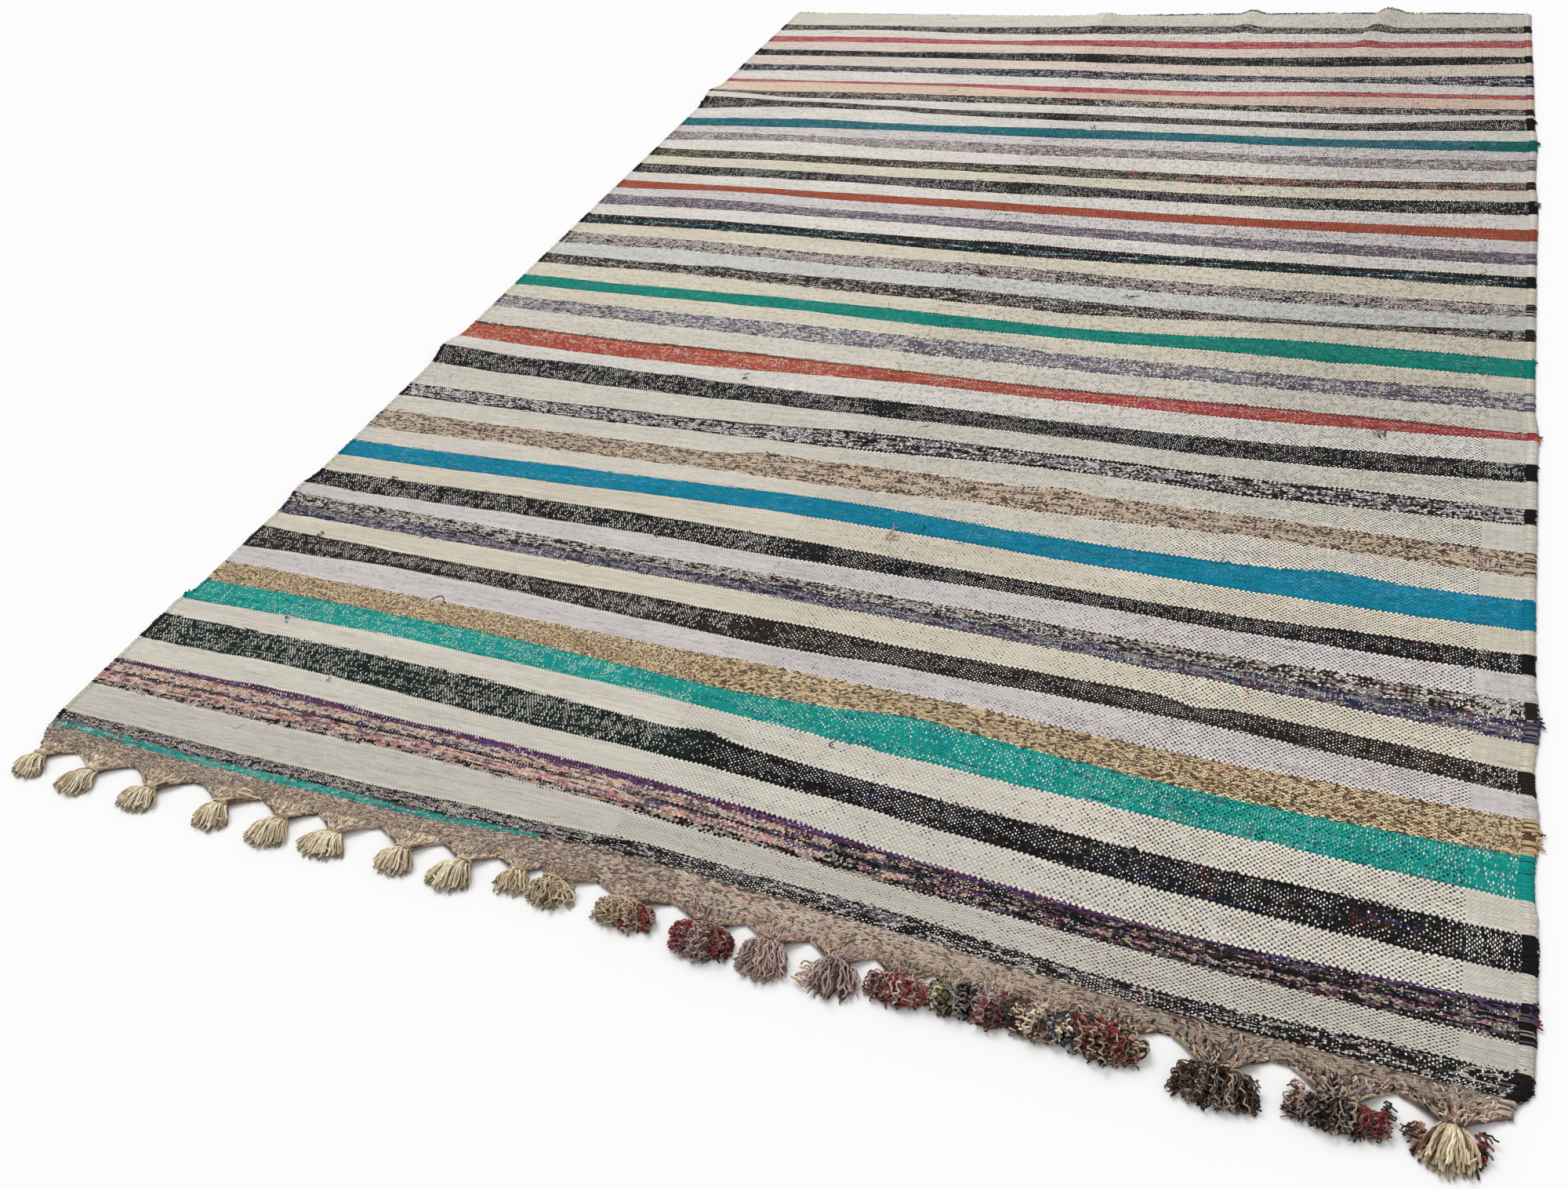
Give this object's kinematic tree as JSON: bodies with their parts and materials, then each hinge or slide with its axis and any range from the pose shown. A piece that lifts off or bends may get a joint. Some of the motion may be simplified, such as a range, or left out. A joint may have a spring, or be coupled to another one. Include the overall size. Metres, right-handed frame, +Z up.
{
  "type": "rag rug",
  "caption": "Flat-woven striped rag rug lying flat on the floor, with knotted warp tassels along its near end.",
  "frame": {"origin": "middle of the whole rug's box, tassels included, on the floor", "axes": "+X across the rug from selvedge to selvedge, +Y along it away from the tassels, +Z up"},
  "size_m": [1.874, 3, 0.024],
  "materials": {
    "weave": "flat-woven cotton and wool rag strips in cream, black and coloured stripes, matt",
    "cream_yarn": "undyed cotton warp yarn, matt",
    "olive_yarn": "olive-brown mixed yarn, matt",
    "mauve_yarn": "mauve-pink mixed yarn, matt",
    "brick_yarn": "brick-red mixed yarn, matt",
    "slate_yarn": "dark slate mixed yarn, matt"
  },
  "bodies": {
    "root": {"rug_cloth": "weave", "tassel_01": "cream_yarn", "tassel_02": "cream_yarn", "tassel_03": "cream_yarn", "tassel_04": "cream_yarn", "tassel_05": "cream_yarn", "tassel_06": "cream_yarn", "tassel_07": "cream_yarn", "tassel_08": "cream_yarn", "tassel_09": "cream_yarn", "tassel_10": "olive_yarn", "tassel_11": "mauve_yarn", "tassel_12": "brick_yarn", "tassel_13": "mauve_yarn", "tassel_14": "mauve_yarn", "tassel_15": "brick_yarn", "tassel_16": "slate_yarn", "tassel_17": "slate_yarn", "tassel_18": "olive_yarn", "tassel_19": "brick_yarn", "tassel_20": "olive_yarn", "tassel_21": "slate_yarn", "tassel_22": "cream_yarn"}
  },
  "joints": []
}
